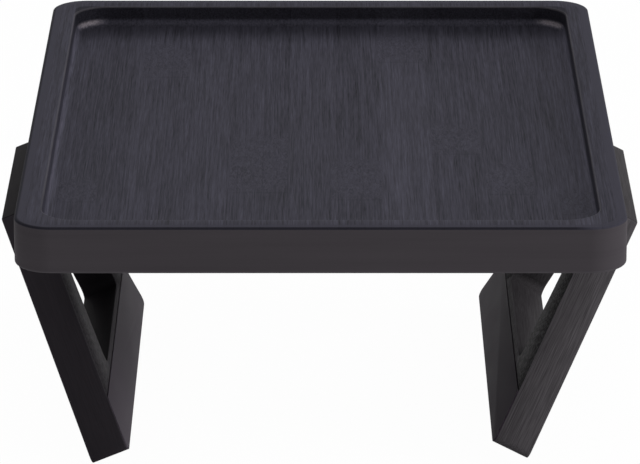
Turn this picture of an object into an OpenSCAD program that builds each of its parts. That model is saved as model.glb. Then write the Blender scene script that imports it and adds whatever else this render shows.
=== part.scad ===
// Clip-on sofa arm tray
// A routed board with a raised rim, carried by two sprung, splayed frames that grip the arm.
// X runs across the tray, Y along the sofa arm, Z up; the origin is the centre of the underside.

/* [Tray board] */
// Width of the tray, across the sofa arm
tray_w = 300; // [270:1:360]
// Depth of the tray, along the sofa arm
tray_d = 400; // [320:1:480]
// Height of the tray board
tray_h = 23.5; // [20:0.5:30]
// Radius of the tray's corners, seen from above
tray_corner_r = 19; // [14:0.5:30]
// Rounding of the tray's outer edges
tray_edge_r = 1.2; // [0.6:0.1:3]
// Width of the rim's flat top
rim_w = 13; // [10:0.5:20]
// Depth of the routed recess
recess_depth = 11; // [6:0.5:13]
// Radius of the recess corners, seen from above
recess_corner_r = 18; // [12:0.5:30]
// Radius of the cove between the recess wall and its floor
recess_cove_r = 5; // [2:0.5:5.5]

/* [Leg frames] */
// Inward lean of the left frame from upright, in degrees
left_lean = 22.5; // [10:0.1:35]
// Inward lean of the right frame from upright, in degrees
right_lean = 27.5; // [10:0.1:35]
// Length of a frame down its slope
leg_len = 125; // [105:0.2:135]
// Thickness of the frame's rails
leg_t = 19.5; // [15:0.5:22]
// Width of a frame at its top end
leg_top_w = 122; // [112:0.2:150]
// Width of a frame at its bottom end
leg_bottom_w = 229.6; // [200:0.2:240]
// Rounding of the frame's two upper outer corners
leg_top_r = 1.5; // [0.5:0.5:6]
// Rounding of the frame's two lower outer corners
leg_bottom_r = 3.5; // [2:0.5:8]
// Height of the top rail, down the slope
top_rail_h = 30; // [28:0.5:36]
// Height of the bottom rail, down the slope
bottom_rail_h = 31.8; // [25:0.2:36]
// Width of the two side rails at the window's top, along the sofa arm
side_rail_w = 29; // [26:0.5:34]
// Width of the two side rails at the window's bottom
side_rail_bottom_w = 37.6; // [28:0.2:42]
// Radius of the window's upper corners
window_top_r = 8; // [4:0.5:12]
// Radius of the window's lower corners
window_bottom_r = 4.5; // [2:0.5:18]
// Diameter of the dowels in the mitred corners
dowel_d = 6; // [4:0.5:8]
// Length of a dowel
dowel_l = 18; // [12:1:20]
// Room round a dowel in its hole
dowel_clearance = 0.05; // [0.02:0.01:0.2]

/* [Grip pads] */
// Width of a pad, up the slope from the frame's bottom edge
pad_w = 28; // [15:0.5:31]
// Thickness of a pad at its upper edge
pad_t_top = 0.5; // [0.4:0.1:1.5]
// Thickness of a pad at its bottom edge
pad_t_bottom = 0.7; // [0.5:0.1:4]

/* [Hinges] */
// Distance of the hinge pin from the tray's side
hinge_inset = 7.2; // [5:0.1:15]
// Distance between the front and rear hinge of a frame, centre to centre
hinge_spacing = 58; // [50:0.5:62]
// Length of a hinge
hinge_l = 40; // [36:0.5:44]
// Width of a hinge leaf from the pin
leaf_w = 28; // [26:0.5:29]
// Thickness of a hinge leaf
leaf_t = 2; // [1.5:0.1:2.5]
// Diameter of the hinge barrel
barrel_d = 8; // [7.6:0.1:10]
// Length of one knuckle of the barrel
knuckle_l = 7.2; // [6:0.1:7.4]
// Gap between a knuckle and the next
knuckle_gap = 0.2; // [0.1:0.05:0.4]
// Diameter of the hinge pin
pin_d = 4; // [3:0.1:4.2]
// Running clearance round the pin
pin_clearance = 0.05; // [0.02:0.01:0.1]
// Thickness of the pin's riveted heads
pin_head_t = 0.8; // [0.5:0.1:1.5]
// Gap between the barrel and the wood
face_gap = 0.3; // [0.2:0.05:0.6]
// Drop of the frame's top end below the pin's axis
leg_drop = 0.5; // [0:0.1:3]

/* [Springs] */
// Diameter of the spring wire
wire_d = 1.2; // [0.8:0.05:1.2]
// Number of curls in a spring
spring_turns = 4; // [3:1:4]
// Rise of a curl
spring_pitch = 1.7; // [1.65:0.05:1.75]
// Mean radius of the curls
spring_r = 3; // [2.9:0.05:3.2]
// Gap between the spring's ends and the knuckles
spring_end_gap = 0.2; // [0.1:0.05:0.4]

/* [Battens] */
// Width of a hinge batten
batten_w = 30; // [28:0.5:40]
// Length of a hinge batten
batten_l = 180; // [150:1:240]
// Thickness of a hinge batten
batten_t = 5; // [4.5:0.5:8]
// Distance of the end screws from the batten's ends
batten_screw_inset = 14; // [8:0.5:16]

/* [Screws] */
// Shank diameter of the wood screws
screw_d = 3.5; // [3:0.1:4]
// Head diameter of the wood screws
screw_head_d = 6.6; // [6:0.1:7.5]
// Length of the hinge screws
hinge_screw_l = 12; // [10:0.5:14]
// Length of the batten screws
batten_screw_l = 15; // [12:0.5:16]
// Room round a screw in its hole
screw_clearance = 0.05; // [0.02:0.01:0.2]
// Distance of the outer screws of a leaf from its centre
leaf_screw_y = 13; // [10:0.5:14]
// Distance of the outer screws of a leaf from the pin
leaf_screw_far = 20; // [17:0.5:22]
// Distance of the middle screw of a leaf from the pin
leaf_screw_near = 12; // [10:0.5:13]

/* [Hidden] */

$fn = 64;
// Overshoot of a cut beyond the face that it breaks
over = 1;
LEFT = -1;
RIGHT = 1;
FRONT = -1;
REAR = 1;

barrel_r = barrel_d / 2;
// Distance from the pin's axis to the wood face that a leaf lies on
seat = barrel_r + face_gap;
hinge_x = tray_w / 2 - hinge_inset;
hinge_z = -batten_t - seat;
hinge_y = hinge_spacing / 2;
batten_x = hinge_x - seat - batten_w / 2;
// Clearance cut round the barrel in the edge of a leaf
notch = seat + face_gap;
fixed_knuckle_y = hinge_l / 2 - knuckle_l / 2;
moving_knuckle_y = fixed_knuckle_y - knuckle_l - knuckle_gap;
spring_room = 2 * moving_knuckle_y - knuckle_l;

// The frame's outline and window in the plane of the frame: Y along the arm, Z up the slope
slope = (leg_bottom_w - leg_top_w) / 2 / leg_len;
window_top = top_rail_h;
window_bottom = leg_len - bottom_rail_h;
function half_w(s) = leg_top_w / 2 + slope * s;
function window_half_w(s) =
    half_w(s) - side_rail_w
    - (side_rail_bottom_w - side_rail_w) * (s - window_top) / (window_bottom - window_top);
function trapezoid(a, s0, b, s1) = [[-a, -s0], [-b, -s1], [b, -s1], [a, -s0]];

wood = [0.16, 0.16, 0.18];
dark_wood = [0.12, 0.12, 0.13];
steel = [0.62, 0.62, 0.65];
rubber = [0.20, 0.20, 0.21];

// Rounded convex polygon, given counter-clockwise, with a radius for each corner
module rounded_polygon(points, radii) {
    n = len(points);
    function unit(v) = v / norm(v);
    back = [for (i = [0:n - 1]) unit(points[(i + n - 1) % n] - points[i])];
    ahead = [for (i = [0:n - 1]) unit(points[(i + 1) % n] - points[i])];
    half = [for (i = [0:n - 1]) acos(back[i] * ahead[i]) / 2];
    tangents = [
        for (i = [0:n - 1], side = [back[i], ahead[i]])
            points[i] + side * radii[i] / tan(half[i])
    ];
    polygon(tangents);
    for (i = [0:n - 1]) {
        translate(points[i] + unit(back[i] + ahead[i]) * radii[i] / sin(half[i]))
            circle(r = radii[i]);
    }
}

// Bar profile from the XZ plane: width w, height h, lower corners rounded by low, upper by high
module bar_profile(w, h, low, high) {
    rounded_polygon(
        [[-w / 2, 0], [w / 2, 0], [w / 2, h], [-w / 2, h]],
        [low, low, high, high]
    );
}

// Slab with rounded plan corners and rounded edges, standing on z = 0
module slab(w, d, h, r, low, high) {
    rotate([90, 0, 0])
        translate([0, 0, r - d / 2])
            linear_extrude(d - 2 * r) bar_profile(w, h, low, high);
    rotate([90, 0, 90])
        translate([0, 0, r - w / 2])
            linear_extrude(w - 2 * r) bar_profile(d, h, low, high);
    for (x = [-1, 1], y = [-1, 1]) {
        translate([x * (w / 2 - r), y * (d / 2 - r), 0])
            rotate_extrude() intersection() {
                bar_profile(2 * r, h, low, high);
                square([r, h]);
            }
    }
}

// Puts children on one side of the tray; the left side is the right one mirrored
module on_side(side) {
    mirror([side == LEFT ? 1 : 0, 0, 0]) children();
}

// Puts children that hang upright from the pin's axis into the frame's place
module on_leg(side) {
    on_side(side)
        translate([hinge_x, 0, hinge_z])
            rotate([0, side == LEFT ? left_lean : right_lean, 0]) children();
}

// Countersunk wood screw with its head's face at z = 0, pointing up
module screw(length) {
    head_t = (screw_head_d - screw_d) / 2;
    difference() {
        union() {
            cylinder(d1 = screw_head_d, d2 = screw_d, h = head_t);
            translate([0, 0, head_t]) cylinder(d = screw_d, h = length - head_t - screw_d / 2);
            translate([0, 0, length - screw_d / 2]) cylinder(d1 = screw_d, d2 = 0.8, h = screw_d / 2);
        }
        for (turn = [0, 90]) {
            rotate(turn) translate([-screw_head_d / 4, -0.4, -over])
                cube([screw_head_d / 2, 0.8, over + 1]);
        }
    }
}

// Hole for a countersunk screw, a little longer and wider than the screw
module screw_hole(length) {
    head_t = (screw_head_d - screw_d) / 2;
    grow = 2 * screw_clearance;
    translate([0, 0, -over]) cylinder(d = screw_head_d + grow, h = over);
    cylinder(d1 = screw_head_d + grow, d2 = screw_d + grow, h = head_t);
    translate([0, 0, head_t / 2]) cylinder(d = screw_d + grow, h = length - head_t / 2 + 0.3);
}

// Places of a leaf's screws: distance from the pin, and along it
leaf_screws = [
    [leaf_screw_far, -leaf_screw_y],
    [leaf_screw_near, 0],
    [leaf_screw_far, leaf_screw_y]
];

// Screw places of one fixed leaf pair, under the batten and pointing up
module at_fixed_screws(side) {
    for (y = [-hinge_y, hinge_y], p = leaf_screws) {
        on_side(side)
            translate([hinge_x - p[0], y + p[1], -batten_t - leaf_t]) children();
    }
}

// Screw places of one moving leaf pair, pointing from the leaf into the rail
module at_moving_screws(side) {
    for (y = [-hinge_y, hinge_y], p = leaf_screws) {
        on_leg(side)
            translate([seat - leaf_t, y + p[1], -p[0]]) rotate([0, 90, 0]) children();
    }
}

// Screw places of a batten, pointing up
module at_batten_screws(side) {
    for (y = [-batten_l / 2 + batten_screw_inset, 0, batten_l / 2 - batten_screw_inset]) {
        on_side(side) translate([batten_x, y, -batten_t]) children();
    }
}

module tray_board() {
    color(wood) difference() {
        slab(tray_w, tray_d, tray_h, tray_corner_r, tray_edge_r, tray_edge_r);
        translate([0, 0, tray_h - recess_depth])
            slab(
                tray_w - 2 * rim_w, tray_d - 2 * rim_w, recess_depth + recess_cove_r,
                recess_corner_r, recess_cove_r, 0.5
            );
        for (side = [LEFT, RIGHT]) {
            at_batten_screws(side) screw_hole(batten_screw_l);
            at_fixed_screws(side) screw_hole(hinge_screw_l);
        }
    }
}

module batten(side) {
    color(dark_wood) difference() {
        on_side(side)
            translate([batten_x - batten_w / 2, -batten_l / 2, -batten_t])
                cube([batten_w, batten_l, batten_t]);
        at_batten_screws(side) screw_hole(batten_screw_l);
        at_fixed_screws(side) screw_hole(hinge_screw_l);
    }
}

module batten_screws(side) {
    color(steel) at_batten_screws(side) screw(batten_screw_l);
}

module fixed_leaf_screws(side) {
    color(steel) at_fixed_screws(side) screw(hinge_screw_l);
}

module moving_leaf_screws(side) {
    color(steel) at_moving_screws(side) screw(hinge_screw_l);
}

// Hinge leaf hanging down from the pin's axis, its back towards +X
// Its knuckles are knuckle_y either side of the centre
module leaf(knuckle_y) {
    difference() {
        translate([seat - leaf_t, -hinge_l / 2, -leaf_w]) cube([leaf_t, hinge_l, leaf_w]);
        // Notches for the other leaf's knuckles and for the spring
        rotate([90, 0, 0]) cylinder(r = notch, h = hinge_l + 2 * over, center = true);
        for (p = leaf_screws) {
            translate([seat - leaf_t, p[1], -p[0]]) rotate([0, 90, 0]) screw_hole(hinge_screw_l);
        }
    }
    for (side = [-1, 1]) {
        translate([0, side * knuckle_y, 0]) knuckle();
    }
}

// One knuckle, rolled round the pin and joined to the leaf's edge
module knuckle() {
    rotate([90, 0, 0]) difference() {
        union() {
            cylinder(r = barrel_r, h = knuckle_l, center = true);
            translate([seat - leaf_t, -notch - 1, -knuckle_l / 2])
                cube([leaf_t, notch + 1, knuckle_l]);
        }
        cylinder(r = pin_d / 2 + pin_clearance, h = knuckle_l + 2 * over, center = true);
    }
}

module fixed_leaf(side, end) {
    color(steel) on_side(side)
        translate([hinge_x, end * hinge_y, hinge_z])
            rotate([0, 90, 0]) mirror([1, 0, 0]) leaf(fixed_knuckle_y);
}

module moving_leaf(side, end) {
    color(steel) on_leg(side) translate([0, end * hinge_y, 0]) leaf(moving_knuckle_y);
}

module hinge_pin(side, end) {
    color(steel) on_side(side)
        translate([hinge_x, end * hinge_y, hinge_z]) rotate([90, 0, 0]) {
            cylinder(d = pin_d, h = hinge_l, center = true);
            for (turn = [0, 180]) {
                rotate([turn, 0, 0]) translate([0, 0, hinge_l / 2])
                    cylinder(r1 = barrel_r - 0.6, r2 = pin_d / 2, h = pin_head_t);
            }
        }
}

// The spring's centre line: a straight end, the curls, and a straight end, along Z
rings_per_curl = 8;
spring_tail = (spring_room - 2 * spring_end_gap - spring_turns * spring_pitch) / 2;
function on_coil(i) = [
    spring_r * cos(360 * i / rings_per_curl),
    spring_r * sin(360 * i / rings_per_curl),
    spring_pitch * (i / rings_per_curl - spring_turns / 2)
];
curl_count = spring_turns * rings_per_curl;
spring_line = [
    on_coil(0) - [0, 0, spring_tail],
    for (i = [0:curl_count]) on_coil(i),
    on_coil(curl_count) + [0, 0, spring_tail]
];
// Least gap between the wire and itself, between points half a curl or more apart
spring_gap = min([
    for (i = [1:len(spring_line) - 2], j = [i + rings_per_curl / 2:1:len(spring_line) - 2])
        norm(spring_line[i] - spring_line[j]) - wire_d
]);
echo(spring_gap = spring_gap);

module spring(side, end) {
    sides = 6;
    n = len(spring_line);
    function unit(v) = v / norm(v);
    function tangent(i) =
        let (
            before = unit(spring_line[max(i, 1)] - spring_line[max(i, 1) - 1]),
            after = unit(spring_line[min(i, n - 2) + 1] - spring_line[min(i, n - 2)])
        )
        [unit(before + after), sqrt((1 + before * after) / 2)];
    function ring(i) =
        let (
            p = spring_line[i],
            out = unit([p[0], p[1], 0]),
            t = tangent(i),
            across = unit(cross(t[0], out)) / t[1]
        )
        [
            for (k = [0:sides - 1])
                p + wire_d / 2 * (cos(360 * k / sides) * out + sin(360 * k / sides) * across)
        ];
    points = [for (i = [0:n - 1]) each ring(i)];
    walls = [
        for (i = [0:n - 2], k = [0:sides - 1])
            let (a = i * sides + k, b = i * sides + (k + 1) % sides)
            each [[a, b + sides, b], [a, a + sides, b + sides]]
    ];
    caps = [
        for (k = [1:sides - 2])
            each [[0, k, k + 1], [(n - 1) * sides, (n - 1) * sides + k + 1, (n - 1) * sides + k]]
    ];
    color(steel) on_side(side)
        translate([hinge_x, end * hinge_y, hinge_z])
            rotate([90, 0, 0]) polyhedron(points, concat(walls, caps));
}

// Stands a shape drawn in the frame's plane up as a board of the frame's thickness
module as_board() {
    translate([seat, 0, -leg_drop]) rotate([90, 0, 90]) linear_extrude(leg_t) children();
}

module frame_outline() {
    rounded_polygon(
        trapezoid(half_w(0), 0, half_w(leg_len), leg_len),
        [leg_top_r, leg_bottom_r, leg_bottom_r, leg_top_r]
    );
}

module window_outline() {
    rounded_polygon(
        trapezoid(
            window_half_w(window_top), window_top,
            window_half_w(window_bottom), window_bottom
        ),
        [window_top_r, window_bottom_r, window_bottom_r, window_top_r]
    );
}

// Corners of the frame from outside to inside, for the mitres
top_out = [half_w(0), 0];
top_in = [window_half_w(window_top), -window_top];
bottom_out = [half_w(leg_len), -leg_len];
bottom_in = [window_half_w(window_bottom), -window_bottom];

// Dowel places: across the middle of each mitre, halfway through the thickness
module at_dowels() {
    for (end = [-1, 1], m = [[top_out, top_in], [bottom_out, bottom_in]]) {
        middle = (m[0] + m[1]) / 2;
        along = m[0] - m[1];
        translate([seat + leg_t / 2, end * middle[0], middle[1] - leg_drop])
            rotate([atan2(along[1], end * along[0]), 0, 0]) children();
    }
}

// The part of the frame inside the given mitre region
module rail(side, region) {
    color(wood) difference() {
        on_leg(side) difference() {
            as_board() intersection() {
                difference() {
                    frame_outline();
                    window_outline();
                }
                polygon(region);
            }
            at_dowels() cylinder(
                d = dowel_d + 2 * dowel_clearance, h = dowel_l + 2 * dowel_clearance, center = true
            );
        }
        at_moving_screws(side) screw_hole(hinge_screw_l);
    }
}

function flip(p) = [-p[0], p[1]];

module top_rail(side) {
    rail(side, [flip(top_out), flip(top_in), top_in, top_out]);
}

module bottom_rail(side) {
    rail(side, [flip(bottom_in), flip(bottom_out), bottom_out, bottom_in]);
}

module side_rail(side, end) {
    corners = [top_in, bottom_in, bottom_out, top_out];
    rail(side, [for (p = corners) end == REAR ? p : flip(p)]);
}

module frame_dowels(side) {
    color(dark_wood) on_leg(side) at_dowels() cylinder(d = dowel_d, h = dowel_l, center = true);
}

// Grip pad: a thin wedge on the inner face, as wide as the frame and clear of the window
module grip_pad(side) {
    top = leg_len - pad_w;
    color(rubber) on_leg(side) intersection() {
        translate([seat - pad_t_bottom - over, 0, -leg_drop])
            rotate([90, 0, 90]) linear_extrude(pad_t_bottom + 2 * over) difference() {
                frame_outline();
                window_outline();
            }
        translate([seat, leg_bottom_w, -leg_drop]) rotate([90, 0, 0])
            linear_extrude(2 * leg_bottom_w)
                polygon([[0, -top], [-pad_t_top, -top], [-pad_t_bottom, -leg_len], [0, -leg_len]]);
    }
}

tray_board();
batten(LEFT);  // left_batten
batten(RIGHT);  // right_batten
batten_screws(LEFT);  // left_batten_screws
batten_screws(RIGHT);  // right_batten_screws
fixed_leaf(LEFT, FRONT);  // left_front_fixed_leaf
fixed_leaf(LEFT, REAR);  // left_rear_fixed_leaf
fixed_leaf(RIGHT, FRONT);  // right_front_fixed_leaf
fixed_leaf(RIGHT, REAR);  // right_rear_fixed_leaf
hinge_pin(LEFT, FRONT);  // left_front_hinge_pin
hinge_pin(LEFT, REAR);  // left_rear_hinge_pin
hinge_pin(RIGHT, FRONT);  // right_front_hinge_pin
hinge_pin(RIGHT, REAR);  // right_rear_hinge_pin
spring(LEFT, FRONT);  // left_front_spring
spring(LEFT, REAR);  // left_rear_spring
spring(RIGHT, FRONT);  // right_front_spring
spring(RIGHT, REAR);  // right_rear_spring
fixed_leaf_screws(LEFT);  // left_fixed_leaf_screws
fixed_leaf_screws(RIGHT);  // right_fixed_leaf_screws
moving_leaf(LEFT, FRONT);  // left_front_moving_leaf
moving_leaf(LEFT, REAR);  // left_rear_moving_leaf
moving_leaf(RIGHT, FRONT);  // right_front_moving_leaf
moving_leaf(RIGHT, REAR);  // right_rear_moving_leaf
moving_leaf_screws(LEFT);  // left_moving_leaf_screws
moving_leaf_screws(RIGHT);  // right_moving_leaf_screws
top_rail(LEFT);  // left_top_rail
bottom_rail(LEFT);  // left_bottom_rail
side_rail(LEFT, FRONT);  // left_front_rail
side_rail(LEFT, REAR);  // left_rear_rail
top_rail(RIGHT);  // right_top_rail
bottom_rail(RIGHT);  // right_bottom_rail
side_rail(RIGHT, FRONT);  // right_front_rail
side_rail(RIGHT, REAR);  // right_rear_rail
frame_dowels(LEFT);  // left_frame_dowels
frame_dowels(RIGHT);  // right_frame_dowels
grip_pad(LEFT);  // left_grip_pad
grip_pad(RIGHT);  // right_grip_pad
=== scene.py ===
"""Sofa arm tray: a stained bamboo board with a raised rim, on two sprung frames that lean inwards."""

import math
from contextlib import contextmanager
from itertools import product

import bmesh
import bpy
from bpy.props import FloatProperty, FloatVectorProperty, IntProperty, PointerProperty
from mathutils import Matrix, Vector


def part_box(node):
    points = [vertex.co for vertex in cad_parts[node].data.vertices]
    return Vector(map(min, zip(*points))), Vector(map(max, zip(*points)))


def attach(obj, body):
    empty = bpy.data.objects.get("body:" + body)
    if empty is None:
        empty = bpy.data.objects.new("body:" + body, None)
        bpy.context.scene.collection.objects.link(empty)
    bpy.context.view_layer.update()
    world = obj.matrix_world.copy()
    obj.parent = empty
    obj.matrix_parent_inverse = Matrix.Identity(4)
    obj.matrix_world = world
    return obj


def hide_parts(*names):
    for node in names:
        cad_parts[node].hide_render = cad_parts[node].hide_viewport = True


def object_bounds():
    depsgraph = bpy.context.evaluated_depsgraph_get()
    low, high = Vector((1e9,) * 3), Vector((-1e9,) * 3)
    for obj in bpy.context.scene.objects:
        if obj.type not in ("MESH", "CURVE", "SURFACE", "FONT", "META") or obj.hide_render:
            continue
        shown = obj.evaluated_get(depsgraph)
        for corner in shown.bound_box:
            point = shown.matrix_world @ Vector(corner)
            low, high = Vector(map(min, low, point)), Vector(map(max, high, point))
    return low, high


bl_info = {
    "name": "Sofa Arm Tray",
    "version": (1, 0, 0),
    "blender": (4, 5, 0),
    "location": "3D View > Sidebar > Tray",
    "description": "Builds the finished pieces, materials and studio of a sofa arm tray",
    "category": "Object",
}

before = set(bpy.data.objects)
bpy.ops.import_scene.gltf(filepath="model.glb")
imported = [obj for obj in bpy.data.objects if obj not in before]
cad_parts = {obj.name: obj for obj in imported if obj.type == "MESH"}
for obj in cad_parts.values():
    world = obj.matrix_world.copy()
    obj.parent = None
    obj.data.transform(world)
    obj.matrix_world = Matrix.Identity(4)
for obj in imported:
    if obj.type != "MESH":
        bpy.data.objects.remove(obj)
CAD_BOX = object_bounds()
BOARD_LOW, BOARD_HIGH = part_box("tray_board")

LEFT, RIGHT = "left", "right"
FRONT, REAR = "front", "rear"
X_AXIS, Y_AXIS = Vector((1, 0, 0)), Vector((0, 1, 0))

# Vertices nearer to each other than this become one
MERGE_DISTANCE = 1e-6
# How far a vertex may lie from a place and still count as there
PLACE_ROOM = 2e-5
# Faces that meet at less than this angle are shaded smooth
SMOOTH_ANGLE = math.radians(32)
# Faces of a CAD node that meet at less than this angle become one
FLAT_ANGLE = math.radians(0.5)
# A face lies flat where its normal's height is over the first, and is upright under the second
FLAT_NORMAL, UPRIGHT_NORMAL = 0.9, 0.3
# Steps in the roundings of the board and the frames
BOARD_CORNER_STEPS, COVE_STEPS, RIM_STEPS, BOARD_EDGE_STEPS = 16, 10, 4, 5
FRAME_CORNER_STEPS, EASED_STEPS = 8, 2
# A rounded face's normal has a height between these
BOARD_ROUND_NORMALS = (0.1, 0.985)
EASED_NORMALS = (0.15, 0.97)
# A window's walls lie past this part of the rails' widths
INTO_RAIL = 0.8
# The grip pads' rounded edges: radius, steps, the least angle of an edge and the largest face
PAD_EDGE, PAD_STEPS, PAD_ANGLE, PAD_EDGE_AREA = 0.00018, 3, math.radians(40), 3e-5
# The battens' eased edges: radius, steps and the most that an eased face faces one way
BATTEN_EDGE, BATTEN_STEPS, BATTEN_NORMAL = 0.0006, 2, 0.985
# Points round the spring wire and steps in a curl
WIRE_SIDES, CURL_STEPS = 12, 24


# Sizes


class BoardSizes(bpy.types.PropertyGroup):
    """Sizes of the tray board"""

    width: FloatProperty(
        name="Width",
        description="Width of the board, across the sofa arm",
        default=BOARD_HIGH.x - BOARD_LOW.x,
        unit="LENGTH",
    )
    depth: FloatProperty(
        name="Depth",
        description="Depth of the board, along the sofa arm",
        default=BOARD_HIGH.y - BOARD_LOW.y,
        unit="LENGTH",
    )
    height: FloatProperty(
        name="Height",
        description="Height of the board",
        default=BOARD_HIGH.z - BOARD_LOW.z,
        unit="LENGTH",
    )
    corner: FloatProperty(
        name="Corner radius",
        description="Radius of the board's corners, seen from above",
        default=0.019,
        unit="LENGTH",
    )
    edge: FloatProperty(
        name="Edge rounding",
        description="Rounding of the board's outer edges",
        default=0.0012,
        unit="LENGTH",
    )
    rim: FloatProperty(
        name="Rim width",
        description="Width of the rim's flat top",
        default=0.013,
        unit="LENGTH",
    )
    rim_edge: FloatProperty(
        name="Rim inner rounding",
        description="Rounding of the rim's inner edge",
        default=0.0009,
        unit="LENGTH",
    )
    recess: FloatProperty(
        name="Recess depth",
        description="Depth of the routed recess",
        default=0.011,
        unit="LENGTH",
    )
    recess_corner: FloatProperty(
        name="Recess corner radius",
        description="Radius of the recess corners, seen from above",
        default=0.018,
        unit="LENGTH",
    )
    cove: FloatProperty(
        name="Cove radius",
        description="Radius between the recess wall and its floor",
        default=0.005,
        unit="LENGTH",
    )


class FrameSizes(bpy.types.PropertyGroup):
    """Sizes of the two leg frames and their grip pads"""

    left_lean: FloatProperty(
        name="Left lean",
        description="Inward lean of the left frame from upright",
        default=math.radians(22.5),
        subtype="ANGLE",
    )
    right_lean: FloatProperty(
        name="Right lean",
        description="Inward lean of the right frame from upright",
        default=math.radians(27.5),
        subtype="ANGLE",
    )
    length: FloatProperty(
        name="Length",
        description="Length of a frame down its slope",
        default=0.125,
        unit="LENGTH",
    )
    thickness: FloatProperty(
        name="Thickness",
        description="Thickness of a frame's rails",
        default=0.0195,
        unit="LENGTH",
    )
    top_width: FloatProperty(
        name="Top width",
        description="Width of a frame at its top end",
        default=0.122,
        unit="LENGTH",
    )
    bottom_width: FloatProperty(
        name="Bottom width",
        description="Width of a frame at its bottom end",
        default=0.2296,
        unit="LENGTH",
    )
    top_rail: FloatProperty(
        name="Top rail height",
        description="Height of the top rail, down the slope",
        default=0.030,
        unit="LENGTH",
    )
    bottom_rail: FloatProperty(
        name="Bottom rail height",
        description="Height of the bottom rail, down the slope",
        default=0.0318,
        unit="LENGTH",
    )
    side_rail: FloatProperty(
        name="Side rail width",
        description="Width of the two side rails at the window's top",
        default=0.029,
        unit="LENGTH",
    )
    side_rail_low: FloatProperty(
        name="Side rail lower width",
        description="Width of the two side rails at the window's bottom",
        default=0.0376,
        unit="LENGTH",
    )
    top_corner: FloatProperty(
        name="Upper corner radius",
        description="Rounding of a frame's two upper outer corners",
        default=0.0015,
        unit="LENGTH",
    )
    bottom_corner: FloatProperty(
        name="Lower corner radius",
        description="Rounding of a frame's two lower outer corners",
        default=0.0035,
        unit="LENGTH",
    )
    window_top: FloatProperty(
        name="Window upper radius",
        description="Radius of the window's upper corners",
        default=0.008,
        unit="LENGTH",
    )
    window_bottom: FloatProperty(
        name="Window lower radius",
        description="Radius of the window's lower corners",
        default=0.0045,
        unit="LENGTH",
    )
    eased: FloatProperty(
        name="Eased edge",
        description="Rounding of the rails' long edges",
        default=0.0005,
        unit="LENGTH",
    )
    hinge_x: FloatProperty(
        name="Hinge place across",
        description="Distance of the hinge pins from the tray's middle",
        default=0.1428,
        unit="LENGTH",
    )
    hinge_drop: FloatProperty(
        name="Hinge drop",
        description="Drop of the hinge pins below the board",
        default=0.0093,
        unit="LENGTH",
    )
    seat: FloatProperty(
        name="Hinge seat",
        description="Distance from the pin to the frame's inner face",
        default=0.0043,
        unit="LENGTH",
    )
    drop: FloatProperty(
        name="Frame drop",
        description="Drop of the frame's top end below the pin",
        default=0.0005,
        unit="LENGTH",
    )
    pad_width: FloatProperty(
        name="Pad width",
        description="Width of a grip pad, up the slope",
        default=0.028,
        unit="LENGTH",
    )
    pad_top: FloatProperty(
        name="Pad upper thickness",
        description="Thickness of a grip pad at its upper edge",
        default=0.0005,
        unit="LENGTH",
    )
    pad_bottom: FloatProperty(
        name="Pad lower thickness",
        description="Thickness of a grip pad at its bottom edge",
        default=0.0007,
        unit="LENGTH",
    )


class SpringSizes(bpy.types.PropertyGroup):
    """Sizes of the hinge springs"""

    wire: FloatProperty(
        name="Wire",
        description="Diameter of the spring wire",
        default=0.0012,
        unit="LENGTH",
    )
    radius: FloatProperty(
        name="Curl radius",
        description="Mean radius of the curls",
        default=0.003,
        unit="LENGTH",
    )
    pitch: FloatProperty(
        name="Pitch",
        description="Rise of a curl",
        default=0.0017,
        unit="LENGTH",
    )
    curls: IntProperty(name="Curls", description="Number of curls", default=4)


class FinishColours(bpy.types.PropertyGroup):
    """Colours of the tray's finishes"""

    board: FloatVectorProperty(
        name="Board stain",
        description="Colour of the stained board",
        subtype="COLOR",
        default=(0.0373, 0.0359, 0.0482),
    )
    # The board's sides are paler partly as sealed end grain and partly as a painted reflection; the
    # same colour makes the painted highlight in the recess corners
    edges: FloatVectorProperty(
        name="Board edge stain",
        description="Colour of the board's sealed outer edges",
        subtype="COLOR",
        default=(0.0560, 0.0500, 0.0560),
    )
    # Lit and shaded copies of one stain: the left frame's colour is darker as painted shade and the
    # right frame's lighter as painted light
    left_frame: FloatVectorProperty(
        name="Left frame stain",
        description="Colour of the stained left frame",
        subtype="COLOR",
        default=(0.0290, 0.0255, 0.0300),
    )
    right_frame: FloatVectorProperty(
        name="Right frame stain",
        description="Colour of the stained right frame",
        subtype="COLOR",
        default=(0.0640, 0.0590, 0.0640),
    )
    # Pale along the rounded edges: partly wear, partly a painted highlight where the light catches
    # them
    wear_and_highlight: FloatVectorProperty(
        name="Worn edge",
        description="Colour where the stain is rubbed thin along the edges",
        subtype="COLOR",
        default=(0.085, 0.080, 0.088),
    )
    # Lit and shaded copies of one rubber: the left pad's colour is lighter as painted light and the
    # right pad's darker as painted shade
    left_grip_lit: FloatVectorProperty(
        name="Left grip pad",
        description="Colour of the left grip pad",
        subtype="COLOR",
        default=(0.0650, 0.0545, 0.0680),
    )
    right_grip_shaded: FloatVectorProperty(
        name="Right grip pad",
        description="Colour of the right grip pad",
        subtype="COLOR",
        default=(0.0262, 0.0195, 0.0275),
    )
    steel: FloatVectorProperty(
        name="Hinge steel",
        description="Colour of the hinge steel",
        subtype="COLOR",
        default=(0.42, 0.42, 0.44),
    )
    spring: FloatVectorProperty(
        name="Spring steel",
        description="Colour of the spring wire",
        subtype="COLOR",
        default=(0.30, 0.31, 0.33),
    )
    screw: FloatVectorProperty(
        name="Screw steel",
        description="Colour of the screws' zinc coat",
        subtype="COLOR",
        default=(0.52, 0.52, 0.50),
    )
    dowel: FloatVectorProperty(
        name="Dowel wood",
        description="Colour of the stained battens and dowels",
        subtype="COLOR",
        default=(0.030, 0.028, 0.032),
    )


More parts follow.
